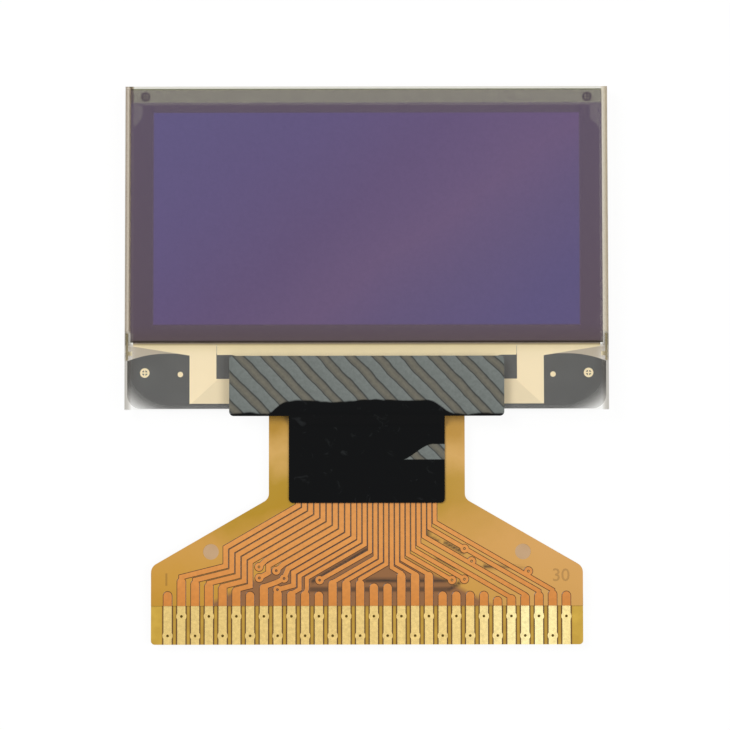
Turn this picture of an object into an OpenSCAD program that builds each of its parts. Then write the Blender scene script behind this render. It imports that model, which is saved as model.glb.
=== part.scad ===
// Small bare display module: two bonded sheets of glass with a light-emitting pixel matrix
// between them, a driver chip on the glass ledge, and a solder tail of flexible circuit.
// Millimetres. X runs across the display, Y towards its top edge, Z out of its face.
// The origin is under the centre of the pixel matrix, on the back face that it rests on.

/* [Glass] */
// Width of both sheets of glass
panel_w = 24.70; // [24.4:0.05:26]
// Height of the front sheet, which carries the circuit
front_glass_h = 16.60; // [16.4:0.05:17.4]
// Thickness of the front sheet
front_glass_t = 0.55; // [0.4:0.05:0.7]
// Height of the rear sheet, the cap
cap_h = 13.25; // [13:0.05:13.4]
// Thickness of the cap
cap_t = 0.50; // [0.45:0.05:0.7]
// Gap between the two sheets, which the seal fills
glass_gap = 0.05; // [0.05:0.01:0.08]
// Glass above the pixel matrix
top_margin = 1.40; // [1.35:0.05:1.7]

/* [Cavity of the cap] */
// Depth of the pocket etched in the cap
pocket_depth = 0.30; // [0.2:0.01:0.34]
// Width of the bead of seal
seal_w = 0.85; // [0.75:0.05:0.9]
// Bare rim of glass outside the seal
seal_rim = 0.15; // [0.1:0.01:0.2]
// Width of the sheet that takes up moisture
desiccant_w = 19.0; // [16:0.5:21]
// Height of that sheet
desiccant_h = 8.6; // [7:0.1:10.5]
// Thickness of that sheet
desiccant_t = 0.12; // [0.1:0.01:0.15]

/* [Polarizer] */
// Width of the polarizing film on the front
polarizer_w = 24.10; // [23:0.05:24.3]
// Height of that film
polarizer_h = 13.04; // [12.6:0.01:13.1]
// Thickness of that film
polarizer_t = 0.20; // [0.12:0.01:0.25]
// Bare glass above that film
polarizer_top = 0.14; // [0.1:0.01:0.2]

/* [Pixel matrix] */
// Distance from one pixel to the next
pixel_pitch = 0.170; // [0.166:0.001:0.171]
// Lit width of a pixel
pixel_size = 0.150; // [0.14:0.001:0.155]
// Number of columns
columns = 128; // [112:8:128]
// Number of rows
rows = 64; // [56:4:64]
// Drawn thickness of each deposited film
film_t = 0.02; // [0.015:0.001:0.022]

/* [Leads on the glass] */
// Side of the glass to the bundle of row leads
lead_edge = 0.39; // [0.38:0.01:0.5]
// Cut-off corner at the top of that bundle
lead_chamfer = 0.45; // [0.3:0.01:0.5]
// Centre to the outer side of the bundle's leg on the ledge
leg_x = 9.06; // [8.8:0.01:9.3]
// Width of that leg
leg_w = 1.37; // [1.2:0.01:1.5]
// Height of the bundle's arm beside the chip
arm_h = 1.27; // [1.1:0.01:1.35]
// Bottom of the glass to that arm
arm_edge = 0.33; // [0.25:0.01:0.4]
// Height of the bundle's wedge along the cap
wedge_h = 0.47; // [0.4:0.01:0.5]

/* [Marks] */
// Diameter of the ring marks
ring_d = 0.49; // [0.4:0.01:0.55]
// Diameter of the round dots
dot_d = 0.28; // [0.2:0.01:0.35]
// Side of the glass to a ring mark's centre
ring_side = 1.0; // [0.9:0.01:1.1]
// Bottom of the glass to a ring mark's centre
ring_up = 1.91; // [1.7:0.01:2]
// Length of the metal strips along the sides of the glass
strip_len = 1.39; // [1:0.01:1.6]

/* [Driver chip] */
// Length of the chip
chip_l = 7.40; // [7.3:0.05:7.8]
// Width of the chip
chip_w = 0.95; // [0.8:0.05:1.1]
// Thickness of the chip
chip_t = 0.28; // [0.2:0.01:0.3]
// Flexible circuit to the chip
chip_gap = 0.25; // [0.2:0.01:0.35]

/* [Ledge coating] */
// Thickness of the resin on the back of the ledge
coating_t = 0.22; // [0.21:0.01:0.25]
// Bare glass outside the resin
coating_rim = 0.08; // [0.05:0.01:0.12]
// Radius of the resin's outer lower corners
coating_r = 0.70; // [0.5:0.05:0.9]

/* [Flexible circuit] */
// Width of its neck
neck_w = 10.0; // [9.4:0.1:10.6]
// Length of the neck below the glass
neck_len = 4.53; // [4.45:0.01:5.5]
// Length bonded behind the ledge
bond_len = 1.12; // [0.95:0.01:1.2]
// Width of its foot
foot_w = 22.0; // [21.6:0.1:23]
// Height of its foot, from the shoulders to the cut edge
foot_h = 7.42; // [7.3:0.01:8]
// Slope of the foot's shoulders
shoulder_angle = 30; // [27:1:32]
// Thickness of the base film
base_t = 0.04; // [0.025:0.005:0.05]
// Thickness of the copper on each side
copper_t = 0.02; // [0.018:0.001:0.022]
// Thickness of each cover film
coverlay_t = 0.05; // [0.045:0.005:0.06]
// Diameter of the tooling holes
hole_d = 0.80; // [0.6:0.05:1]
// Distance between the tooling holes
hole_span = 15.9; // [15.6:0.1:16.4]
// Cover film's edge to the tooling holes
hole_up = 2.75; // [2.6:0.05:2.8]

/* [Contacts] */
// Distance from one contact to the next
contact_pitch = 0.70; // [0.68:0.005:0.72]
// Width of a contact
contact_w = 0.42; // [0.38:0.01:0.44]
// Bare length of the contacts
contact_len = 1.97; // [1.9:0.01:2.1]
// Thickness of the gilt contacts
contact_t = 0.03; // [0.025:0.001:0.035]
// Diameter of the swelling round a contact's hole
swell_d = 0.52; // [0.48:0.01:0.55]
// Diameter of the plated holes
via_d = 0.14; // [0.1:0.01:0.16]
// Wall of the plated holes
via_wall = 0.04; // [0.03:0.005:0.05]

/* [Traces] */
// Distance between traces of the left bank
left_pitch = 0.315; // [0.31:0.001:0.318]
// Distance between traces of the right bank
right_pitch = 0.275; // [0.27:0.001:0.28]
// Gap between neighbouring traces
trace_gap = 0.075; // [0.06:0.005:0.1]
// Diameter of the round pads on the traces
pad_d = 0.42; // [0.36:0.01:0.44]

/* [Shielding tape] */
// Width of the tape's head on the glass
tape_w = 14.02; // [13:0.01:14.6]
// Width of the tape's leg
tape_leg_w = 7.96; // [7:0.01:8.4]
// Height of the head on the glass
tape_up = 2.74; // [2.4:0.01:2.9]
// Reach of the head past the glass
tape_lap = 0.33; // [0.2:0.01:0.45]
// Reach of the leg past the glass
tape_leg = 4.75; // [4.2:0.01:4.9]
// Thickness of the tape
tape_t = 0.06; // [0.04:0.005:0.08]
// Radius of the tape's corners
tape_r = 0.22; // [0.1:0.01:0.3]

/* [Hidden] */
$fn = 48;

// Heights of the layers, upwards from the back face
z_glass = cap_t + glass_gap;
z_film = z_glass - film_t;
z_bond = z_film - film_t;
z_front = z_glass + front_glass_t;
z_base = z_bond - copper_t - base_t;
z_back = z_base - copper_t - coverlay_t;

// Edges of the glass and of the matrix
side_x = panel_w / 2;
matrix_w = columns * pixel_pitch - (pixel_pitch - pixel_size);
matrix_h = rows * pixel_pitch - (pixel_pitch - pixel_size);
top_y = matrix_h / 2 + top_margin;
cap_y = top_y - cap_h;
edge_y = top_y - front_glass_h;
column_tail = 0.52;
metal_y = matrix_h / 2 + column_tail;
fan_y = -matrix_h / 2 - 0.17;
mark_drop = 0.45;

// Leads
lead_out = side_x - lead_edge;
lead_in = matrix_w / 2 + 0.18;
lead_gap = 0.03;
shoulder_drop = 0.69;
wedge_y = cap_y - 0.08;
field_x = leg_x - leg_w - lead_gap;
field_y = wedge_y - wedge_h + lead_gap;
arm_y = edge_y + arm_edge;

// Flexible circuit
flex_y = edge_y + bond_len;
shoulder_y = edge_y - neck_len;
foot_y = shoulder_y - foot_h;
cover_y = foot_y + contact_len;
open_y = edge_y - 0.13;
chip_y = flex_y + chip_gap;
bond_rim = 0.15;
coating_z = z_glass - coating_t;
contacts = 30;
left_x = -3.50;
right_x = -0.39;
left_count = 10;
trace_count = 25;
slope = tan(30);

// Contact positions, counted from the left
function contact_x(i) = (i - (contacts - 1) / 2) * contact_pitch;

// Trace positions in the neck, counted from the left
function trace_x(k) = k < left_count ? left_x + k * left_pitch
                                     : right_x + (k - left_count) * right_pitch;
function trace_w(k) = (k < left_count ? left_pitch : right_pitch) - trace_gap;

// Points of an arc of radius r that rounds corner b between a and c, or b alone where r is 0
function unit(v) = v / norm(v);
function corner(a, b, c, r, steps = 8) =
    r == 0 ? [b] :
    let (u = unit(a - b), v = unit(c - b), half = acos(u * v) / 2,
         mid = b + unit(u + v) * (r / sin(half)),
         p = b + u * (r / tan(half)) - mid, q = b + v * (r / tan(half)) - mid,
         turn = 180 - 2 * half)
    [for (s = [0 : steps]) mid + (p * sin(turn * (1 - s / steps)) + q * sin(turn * s / steps))
                                 / sin(turn)];

// Outline with rounded corners: each entry is [x, y, radius]
function rounded(c) =
    let (n = len(c), p = [for (e = c) [e[0], e[1]]])
    [for (i = [0 : n - 1]) each corner(p[(i + n - 1) % n], p[i], p[(i + 1) % n], c[i][2])];

// A left outline followed by its mirror image, for a symmetrical polygon
function mirrored(c) = concat(c, [for (i = [len(c) - 1 : -1 : 0]) [-c[i][0], c[i][1], c[i][2]]]);

// Outline of a strip of width w along a route, with mitred bends
function normal(a, b) = let (d = unit(b - a)) [-d[1], d[0]];
function mitre(p, i) =
    i == 0 ? normal(p[0], p[1]) :
    i == len(p) - 1 ? normal(p[i - 1], p[i]) :
    let (m = normal(p[i - 1], p[i]), n = normal(p[i], p[i + 1])) (m + n) / (1 + m * n);
function strip(p, w) = concat(
    [for (i = [0 : len(p) - 1]) p[i] - mitre(p, i) * w / 2],
    [for (i = [len(p) - 1 : -1 : 0]) p[i] + mitre(p, i) * w / 2]);

// A flat layer of thickness t that starts at height z
module layer(z, t) {
    translate([0, 0, z]) linear_extrude(t) children();
}

// A rectangle between x0 and x1, y0 and y1
module patch(x0, x1, y0, y1) {
    translate([x0, y0]) square([x1 - x0, y1 - y0]);
}

// ---- Glass and what is shut in between the sheets ----

pocket_x = side_x - seal_rim - seal_w;
pocket_top = top_y - seal_rim - seal_w + 0.15;
pocket_low = cap_y + seal_rim + seal_w - 0.25;
pocket_inset = 0.05;

module cap_glass() {
    color([0.80, 0.86, 0.84, 0.6])
    difference() {
        layer(0, cap_t) patch(-side_x, side_x, cap_y, top_y);
        layer(cap_t - pocket_depth, pocket_depth + 1)
            patch(-pocket_x + pocket_inset, pocket_x - pocket_inset,
                  pocket_low + pocket_inset, pocket_top - pocket_inset);
    }
}

module desiccant_sheet() {
    color("whitesmoke")
    layer(cap_t - pocket_depth, desiccant_t)
        patch(-desiccant_w / 2, desiccant_w / 2, -desiccant_h / 2, desiccant_h / 2);
}

module seal_ring() {
    difference() {
        patch(-side_x + seal_rim, side_x - seal_rim, cap_y + seal_rim, top_y - seal_rim);
        patch(-pocket_x, pocket_x, pocket_low, pocket_top);
    }
}

module seal_frame() {
    color([0.72, 0.70, 0.62])
    union() {
        layer(cap_t, glass_gap - film_t) seal_ring();
        layer(z_film, film_t) difference() {
            seal_ring();
            row_bundle();
            mirror([1, 0]) row_bundle();
            column_field();
            top_marks();
        }
    }
}

module substrate_glass() {
    color([0.82, 0.88, 0.86, 0.5])
    layer(z_glass, front_glass_t) patch(-side_x, side_x, edge_y, top_y);
}

module polarizer() {
    color([0.35, 0.33, 0.36, 0.8])
    layer(z_front, polarizer_t)
        patch(-polarizer_w / 2, polarizer_w / 2,
              top_y - polarizer_top - polarizer_h, top_y - polarizer_top);
}

// ---- Pixel matrix ----

module anode_columns() {
    color([0.42, 0.38, 0.52])
    for (i = [0 : columns - 1])
        translate([-matrix_w / 2 + i * pixel_pitch, fan_y, z_film])
            cube([pixel_size, metal_y - fan_y, film_t]);
}

module emitting_layer() {
    rim = 0.15;
    color([0.35, 0.30, 0.48])
    layer(z_bond, film_t)
        patch(-matrix_w / 2 - rim, matrix_w / 2 + rim, -matrix_h / 2 - rim, matrix_h / 2 + rim);
}

// A row runs under the emitting layer and steps up to its lead at each end
module cathode_rows() {
    reach = lead_in + 0.13;
    foot = 0.10;
    color([0.75, 0.76, 0.78])
    for (j = [0 : rows - 1])
        translate([0, -matrix_h / 2 + j * pixel_pitch + pixel_size, 0])
            rotate([90, 0, 0])
                linear_extrude(pixel_size)
                    polygon([[-reach, z_bond - film_t], [reach, z_bond - film_t],
                             [reach, z_film], [reach - foot, z_film],
                             [reach - foot, z_bond], [foot - reach, z_bond],
                             [foot - reach, z_film], [-reach, z_film]]);
}

// ---- Leads and marks on the back of the front sheet ----

// Rows' leads on the left: down the side, along the cap, down a leg and in to the chip
module row_bundle() {
    arm_end = chip_l / 2 - 0.10;
    polygon([[-lead_out, metal_y - shoulder_drop - lead_chamfer],
             [-lead_out + lead_chamfer, metal_y - shoulder_drop],
             [-lead_out + lead_chamfer, metal_y], [-lead_in, metal_y],
             [-lead_in, fan_y], [-field_x - lead_gap, cap_y - 0.03],
             [-field_x - lead_gap, arm_y + arm_h], [-chip_l / 2 - 3.2, arm_y + arm_h],
             [-arm_end, chip_y + chip_w - 0.30], [-arm_end, chip_y + 0.20],
             [-neck_w / 2 - 0.30, flex_y + 0.05], [-chip_l / 2 - 3.2, arm_y],
             [-leg_x, arm_y], [-leg_x, wedge_y - wedge_h], [-lead_out, wedge_y]]);
}

module row_leads_left() {
    color([0.92, 0.85, 0.69]) layer(z_film, film_t) row_bundle();
}

module row_leads_right() {
    color([0.92, 0.85, 0.69]) layer(z_film, film_t) mirror([1, 0]) row_bundle();
}

// Columns' leads: from the foot of the matrix in to the chip
module column_field() {
    fan = [[-matrix_w / 2, fan_y, 0], [-field_x, cap_y - 0.03, 0], [-field_x, field_y, 0],
           [-chip_l / 2 - 3.2, field_y, 0], [-chip_l / 2 + 0.2, chip_y + chip_w - 0.15, 0]];
    polygon(rounded(mirrored(fan)));
}

module column_leads() {
    color([0.92, 0.85, 0.69]) layer(z_film, film_t) column_field();
}

// Leads from the chip to the bonds of the flexible circuit
module input_plan() {
    for (k = [0 : trace_count - 1])
        patch(trace_x(k) - trace_w(k) / 2, trace_x(k) + trace_w(k) / 2,
              edge_y + coating_rim, chip_y + 0.10);
}

module input_leads() {
    color([0.92, 0.85, 0.69]) layer(z_film, film_t) input_plan();
}

// A ring with a cross in it
module ring_mark(x, y) {
    bar = 0.07;
    translate([x, y]) {
        difference() {
            circle(d = ring_d);
            circle(d = ring_d * 0.56);
        }
        square([ring_d * 0.7, bar], center = true);
        square([bar, ring_d * 0.7], center = true);
    }
}

module top_marks() {
    for (s = [-1, 1]) {
        ring_mark(s * (side_x - ring_side), top_y - mark_drop);
        translate([s * (side_x - ring_side + 0.24), metal_y + 0.02]) circle(d = 0.10);
    }
}

module ledge_marks() {
    dot_in = 1.82;
    for (s = [-1, 1]) {
        ring_mark(s * (side_x - ring_side), edge_y + ring_up);
        translate([s * (side_x - ring_side - dot_in), edge_y + ring_up - 0.08])
            circle(d = dot_d);
    }
}

module alignment_marks() {
    color([0.94, 0.88, 0.74]) layer(z_film, film_t) {
        top_marks();
        ledge_marks();
    }
}

// Metal left along the sides where the sheets were cut apart, with a square tab
module edge_metal() {
    strip_in = 0.14;
    tab = 0.21;
    for (s = [-1, 1])
        scale([s, 1]) {
            patch(side_x - strip_in, side_x - 0.02,
                  cap_y + 0.59 - strip_len, cap_y + 0.59);
            patch(side_x - strip_in - tab, side_x - strip_in,
                  cap_y - 0.56, cap_y - 0.34);
        }
}

module edge_strips() {
    color([0.94, 0.88, 0.74]) layer(z_film, film_t) edge_metal();
}

// ---- Chip, bonds and resin on the ledge ----

module driver_chip() {
    color([0.22, 0.23, 0.26])
    layer(z_bond - chip_t, chip_t) patch(-chip_l / 2, chip_l / 2, chip_y, chip_y + chip_w);
}

module chip_bond_area() {
    patch(-chip_l / 2 - bond_rim, chip_l / 2 + bond_rim,
          chip_y - bond_rim, chip_y + chip_w + bond_rim);
}

module chip_bond_film() {
    color([0.62, 0.58, 0.50]) layer(z_bond, film_t) chip_bond_area();
}

module flex_bond_film() {
    rim = 0.05;
    color([0.62, 0.58, 0.50])
    layer(z_bond, film_t)
        patch(-neck_w / 2 + 2 * rim, neck_w / 2 - 2 * rim, edge_y + rim, flex_y - rim);
}

// Plan of the resin: a soft arch over each wing, and round outer corners
module coating_plan() {
    out = side_x - 0.10;
    crown = cap_y - 0.45;
    wing = 1.95;
    sag = 0.38;
    arch = [for (s = [6 : -1 : 0]) [-out + wing * (1 - s / 6), crown - sag * pow(s / 6, 2), 0]];
    half = concat([[-out, edge_y + coating_rim, coating_r]], arch);
    polygon(rounded(mirrored(half)));
}

module flex_seat() {
    patch(-neck_w / 2, neck_w / 2, edge_y - 1, flex_y);
}

module ledge_coating() {
    color([0.37, 0.37, 0.37])
    union() {
        layer(z_film, film_t) difference() {
            coating_plan();
            row_bundle();
            mirror([1, 0]) row_bundle();
            column_field();
            input_plan();
            ledge_marks();
            edge_metal();
            flex_seat();
            chip_bond_area();
        }
        layer(z_bond, film_t) difference() {
            coating_plan();
            flex_seat();
            chip_bond_area();
        }
        layer(z_back, z_bond - z_back) difference() {
            coating_plan();
            flex_seat();
            patch(-chip_l / 2, chip_l / 2, chip_y, chip_y + chip_w);
        }
        layer(coating_z, z_back - coating_z) difference() {
            coating_plan();
            patch(-chip_l / 2, chip_l / 2, chip_y, chip_y + chip_w);
        }
    }
}

// ---- Flexible circuit ----

// Plan of the film down to y_low: a neck that widens over sloping shoulders to the foot
module flex_plan(y_high, y_low, corner_r = 0.20) {
    drop = (foot_w - neck_w) / 2 * tan(shoulder_angle);
    polygon(rounded(mirrored([
        [-neck_w / 2, y_high, 0], [-neck_w / 2, shoulder_y, 0.45],
        [-foot_w / 2, shoulder_y - drop, 0.50], [-foot_w / 2, y_low, corner_r]])));
}

module tooling_holes(d = hole_d) {
    for (s = [-1, 1])
        translate([s * hole_span / 2, cover_y + hole_up]) circle(d = d);
}

// Plated holes: one in each contact, staggered, and those on the traces
function contact_via(i) = [contact_x(i), cover_y - (i % 2 == 1 ? 0.53 : 1.52)];
trace_vias = [[-5.50, 1.98], [-5.48, 1.42], [-4.62, 1.79], [-4.22, 1.39], [-4.56, 0.82],
              [-2.41, 1.30], [4.33, 1.30], [4.96, 1.34], [5.33, 2.26], [4.97, 2.90],
              [8.22, 1.75]];
function via_at(n) = [trace_vias[n][0], cover_y + trace_vias[n][1]];

module via_holes(d) {
    for (i = [0 : contacts - 1]) translate(contact_via(i)) circle(d = d);
    for (n = [0 : len(trace_vias) - 1]) translate(via_at(n)) circle(d = d);
}

module flex_base() {
    color([0.80, 0.60, 0.24])
    layer(z_base, base_t) difference() {
        flex_plan(flex_y, foot_y);
        tooling_holes();
        via_holes(via_d + 2 * via_wall);
    }
}

module via_barrels() {
    color([0.80, 0.62, 0.36])
    layer(z_base, base_t) difference() {
        via_holes(via_d + 2 * via_wall);
        via_holes(via_d);
    }
}

// Height above the cover film's edge at which each trace leaves the neck's straight run
turn_up = concat([for (k = [0 : left_count - 1]) 5.10 - 0.182 * k],
                 [3.28, 3.11, 2.75, 2.45, 2.29, 2.12, 1.95, 2.15, 2.35, 2.60, 2.86, 3.12,
                  3.52, 3.95, 4.25]);

// The last contact or plated hole of each trace: [contact, hole], -1 where it has none
trace_end = [[1, -1], [2, -1], [3, -1], [4, -1], [5, -1], [-1, 0], [-1, 1], [-1, 2], [7, 3],
             [8, 4], [9, -1], [10, -1], [-1, 5], [12, -1], [13, -1], [14, -1], [17, -1],
             [18, -1], [19, -1], [-1, 6], [-1, 7], [25, -1], [26, -1], [27, -1], [28, -1]];

// A point further down the slope from p, at x
function slide(p, x) = [x, p[1] - abs(x - p[0]) * slope];

// Route of trace k from the bonds to its end
function route(k) =
    let (turn = [trace_x(k), cover_y + turn_up[k]], start = [trace_x(k), flex_y - 0.03],
         x_end = contact_x(trace_end[k][0]), low = cover_y + 0.35)
    k < 5 ? let (jog_x = -7.20 + left_pitch * k, jog_y = cover_y + 2.03 - 0.255 * k)
        [start, turn, slide(turn, jog_x), [jog_x, jog_y],
         [x_end, jog_y - (jog_x - x_end) * 0.249], [x_end, low]] :
    k == 5 || k == 7 ? [start, turn, slide(turn, via_at(k - 5)[0] + 0.35), via_at(k - 5)] :
    k == 6 ? [start, turn, slide(turn, -5.02), [-5.02, cover_y + 1.68], via_at(1)] :
    k == 8 ? [start, turn, slide(turn, -4.02), via_at(3), [-4.60, cover_y + 1.20],
              [x_end, cover_y + 0.97], [x_end, low]] :
    k == 9 ? [start, turn, slide(turn, -3.74), [-3.74, cover_y + 1.04], via_at(4),
              [x_end, low]] :
    k < 12 ? let (jog_x = -3.43 + (k - 10) * 0.37)
        [start, turn, slide(turn, jog_x), [jog_x, cover_y + 0.85],
         [x_end, cover_y + 0.62], [x_end, low]] :
    trace_end[k][0] < 0 ? [start, turn, via_at(trace_end[k][1])] :
    [start, turn, slide(turn, x_end), [x_end, low]];

// Top of the copper pad that carries each contact on under the cover film
function pad_up(i) =
    i == 15 || i == 16 ? 1.13 - contact_w / 2 :
    i == 24 ? 0.45 - contact_w / 2 :
    i == 0 || i == 6 || i == 11 || i == 29 || (i > 19 && i < 24) ? 0.72 - contact_w / 2 :
    i == 7 ? 0.90 : i == 8 ? 0.60 : i == 9 || i == 10 ? 0.55 :
    i < 6 ? 1.34 - 0.12 * i : i < 15 ? 1.10 : i < 20 ? 1.50 :
    0.25 + (i - 24) * 0.08;

module contact_pad(i, w = contact_w) {
    patch(contact_x(i) - w / 2, contact_x(i) + w / 2, cover_y, cover_y + pad_up(i));
    translate([contact_x(i), cover_y + pad_up(i)]) circle(d = w);
}

module front_copper_plan() {
    for (k = [0 : trace_count - 1]) polygon(strip(route(k), trace_w(k)));
    for (i = [0 : contacts - 1]) contact_pad(i);
    for (n = [0 : len(trace_vias) - 1]) translate(via_at(n)) circle(d = pad_d);
}

module front_copper() {
    color([0.90, 0.62, 0.36])
    layer(z_bond - copper_t, copper_t) difference() {
        front_copper_plan();
        via_holes(via_d);
    }
}

// Wide supply traces, three jumpers across the foot, thin traces from the plated holes up
// the neck, each as [hole, x in the neck], and the rear ends of the contacts
supply_slots = [-2.75, -2.05, -1.10, -0.20, 0.80, 2.10];
back_runs = [[0, -4.40], [1, -3.95], [2, -3.50], [3, -3.05], [9, 3.40]];
function back_run(via, x) =
    let (dodge = via == via_at(1) ? [[-5.06, cover_y + 1.66], [-5.06, cover_y + 2.00]] : [],
         from = len(dodge) > 0 ? dodge[1] : via)
    concat([via], dodge, [[x, from[1] + abs(x - from[0]) * slope], [x, flex_y - 0.03]]);
module back_copper_plan() {
    gap = 0.12;
    for (n = [0 : len(supply_slots) - 2])
        patch(supply_slots[n] + gap / 2, supply_slots[n + 1] - gap / 2,
              cover_y + 1.36, flex_y - 0.03);
    polygon(strip([via_at(5) - [0.5, 0.25], via_at(5) - [0, 0.25], via_at(6) - [0, 0.25],
                   via_at(6)], 0.30));
    polygon(strip([via_at(4), via_at(4) + [0.5, -0.19], via_at(7) - [0.30, 0.71],
                   via_at(7)], 0.20));
    polygon(strip([via_at(8), via_at(8) + [1.0, -0.40], via_at(10)], 0.20));
    for (run = back_runs) polygon(strip(back_run(via_at(run[0]), run[1]), 0.14));
    for (n = [0 : len(trace_vias) - 1]) translate(via_at(n)) circle(d = pad_d);
    for (i = [0 : contacts - 1])
        patch(contact_x(i) - contact_w / 2, contact_x(i) + contact_w / 2,
              cover_y, cover_y + 0.45);
}

module back_copper() {
    color([0.80, 0.50, 0.30])
    layer(z_base - copper_t, copper_t) difference() {
        back_copper_plan();
        via_holes(via_d);
    }
}

// Gilt ends of the contacts, each swollen round its plated hole
module contact_row() {
    difference() {
        for (i = [0 : contacts - 1]) {
            patch(contact_x(i) - contact_w / 2, contact_x(i) + contact_w / 2, foot_y, cover_y);
            translate(contact_via(i)) circle(d = swell_d);
        }
        via_holes(via_d);
    }
}

module front_contacts() {
    color([0.90, 0.79, 0.48]) layer(z_base + base_t, contact_t) contact_row();
}

module back_contacts() {
    color([0.90, 0.79, 0.48]) layer(z_base - contact_t, contact_t) contact_row();
}

// Adhesive fills the spaces between the traces, and the cover film lies over both
module front_adhesive() {
    color([0.72, 0.50, 0.22])
    layer(z_bond - copper_t, copper_t) difference() {
        flex_plan(open_y, cover_y, 0);
        front_copper_plan();
        tooling_holes();
    }
}

module front_coverlay() {
    color([0.86, 0.58, 0.25, 0.7])
    layer(z_bond, coverlay_t) difference() {
        flex_plan(open_y, cover_y, 0);
        tooling_holes();
    }
}

module back_adhesive() {
    color([0.72, 0.50, 0.22])
    layer(z_base - copper_t, copper_t) difference() {
        flex_plan(flex_y, cover_y, 0);
        back_copper_plan();
        tooling_holes();
    }
}

module back_coverlay() {
    color([0.82, 0.56, 0.22, 0.7])
    layer(z_back, coverlay_t) difference() {
        flex_plan(flex_y, cover_y, 0);
        tooling_holes();
    }
}

// ---- Shielding tape ----

// Underside of the tape, as y and z: flat on the glass, over its edge, down onto the neck
crest_r = 0.40;
heel_r = 0.50;
dive = 40;
tape_land = z_bond + coverlay_t;
function tape_line(t) =
    let (r1 = crest_r + t, r2 = heel_r - t, fall = z_front - tape_land,
         run = (fall - (crest_r + heel_r) * (1 - cos(dive))) / sin(dive),
         c1 = [edge_y, z_front - crest_r],
         e1 = c1 + [-sin(dive), cos(dive)] * r1,
         e2 = e1 + [-cos(dive), -sin(dive)] * run,
         c2 = e2 + [-sin(dive), cos(dive)] * r2)
    concat([[edge_y + tape_up + 1, z_front + t]],
           [for (a = [0 : 5 : dive]) c1 + [-sin(a), cos(a)] * r1],
           [for (a = [dive : -5 : 0]) c2 + [sin(a), -cos(a)] * r2],
           [[edge_y - tape_leg - 1, tape_land + t]]);

module tape_plan() {
    polygon(rounded(mirrored([
        [-tape_w / 2, edge_y + tape_up, tape_r], [-tape_w / 2, edge_y - tape_lap, tape_r],
        [-tape_leg_w / 2, edge_y - tape_lap, 0], [-tape_leg_w / 2, edge_y - tape_leg, tape_r]])));
}

module shield_tape() {
    upper = tape_line(tape_t);
    lower = tape_line(0);
    sheet = concat(lower, [for (i = [len(upper) - 1 : -1 : 0]) upper[i]]);
    color([0.07, 0.07, 0.08])
    intersection() {
        translate([0, 0, z_glass - 1]) linear_extrude(front_glass_t + 2) tape_plan();
        translate([-panel_w / 2, 0, 0]) rotate([90, 0, 90])
            linear_extrude(panel_w) polygon(sheet);
    }
}

cap_glass();
desiccant_sheet();
seal_frame();
substrate_glass();
polarizer();
anode_columns();
emitting_layer();
cathode_rows();
row_leads_left();
row_leads_right();
column_leads();
input_leads();
alignment_marks();
edge_strips();
driver_chip();
chip_bond_film();
flex_bond_film();
ledge_coating();
flex_base();
front_copper();
back_copper();
via_barrels();
front_contacts();
back_contacts();
front_adhesive();
front_coverlay();
back_adhesive();
back_coverlay();
shield_tape();
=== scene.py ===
# A small bare display module, lying face up: two bonded sheets of glass with a
# light-emitting matrix between them, and a flexible circuit that a tape holds down.
import math

import bmesh
import bpy
from mathutils import Matrix, Vector, noise


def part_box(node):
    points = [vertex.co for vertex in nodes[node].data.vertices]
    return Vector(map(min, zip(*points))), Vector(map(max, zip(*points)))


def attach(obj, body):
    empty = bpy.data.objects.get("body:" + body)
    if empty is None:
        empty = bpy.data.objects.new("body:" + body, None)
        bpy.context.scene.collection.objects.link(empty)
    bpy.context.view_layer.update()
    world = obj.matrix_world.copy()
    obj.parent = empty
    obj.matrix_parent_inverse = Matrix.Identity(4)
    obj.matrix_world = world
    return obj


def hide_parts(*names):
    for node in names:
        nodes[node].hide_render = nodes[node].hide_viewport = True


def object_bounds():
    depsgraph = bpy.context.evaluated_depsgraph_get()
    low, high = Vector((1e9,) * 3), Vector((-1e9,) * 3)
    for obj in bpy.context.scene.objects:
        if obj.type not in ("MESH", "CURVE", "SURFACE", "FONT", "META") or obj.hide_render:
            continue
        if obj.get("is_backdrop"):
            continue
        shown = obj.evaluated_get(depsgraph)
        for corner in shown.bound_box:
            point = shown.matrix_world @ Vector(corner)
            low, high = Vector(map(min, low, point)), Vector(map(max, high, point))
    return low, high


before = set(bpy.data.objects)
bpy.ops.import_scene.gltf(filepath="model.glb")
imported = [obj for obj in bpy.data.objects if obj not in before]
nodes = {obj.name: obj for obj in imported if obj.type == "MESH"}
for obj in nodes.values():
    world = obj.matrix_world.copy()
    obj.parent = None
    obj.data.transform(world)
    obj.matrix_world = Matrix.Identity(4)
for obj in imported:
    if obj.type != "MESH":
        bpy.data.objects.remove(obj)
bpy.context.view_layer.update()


# ---- Glass ----
# Two sheets of polished display glass, scribed and snapped to size. The front sheet
# carries the circuit, and the cap behind it has an etched pocket. Seen from the front
# the sheets are nearly clear, and the light and shade their snapped edges catch is
# painted into the glass's tint as thin lines.

def linear(hex_colour):
    """Turns an sRGB hex colour into the linear colour that a socket takes."""
    parts = [int(hex_colour[i:i + 2], 16) / 255 for i in (0, 2, 4)]
    return [c / 12.92 if c <= 0.04045 else ((c + 0.055) / 1.055) ** 2.4 for c in parts] + [1]


def add(material, kind, inputs={}, **settings):
    """Adds a node with its settings, and fills or links its inputs."""
    tree = material.node_tree
    node = tree.nodes.new(kind)
    for name, value in settings.items():
        setattr(node, name, value)
    for key, value in inputs.items():
        if isinstance(value, bpy.types.Node):
            tree.links.new(value.outputs[0], node.inputs[key])
        elif isinstance(value, bpy.types.NodeSocket):
            tree.links.new(value, node.inputs[key])
        else:
            node.inputs[key].default_value = value
    return node


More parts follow.
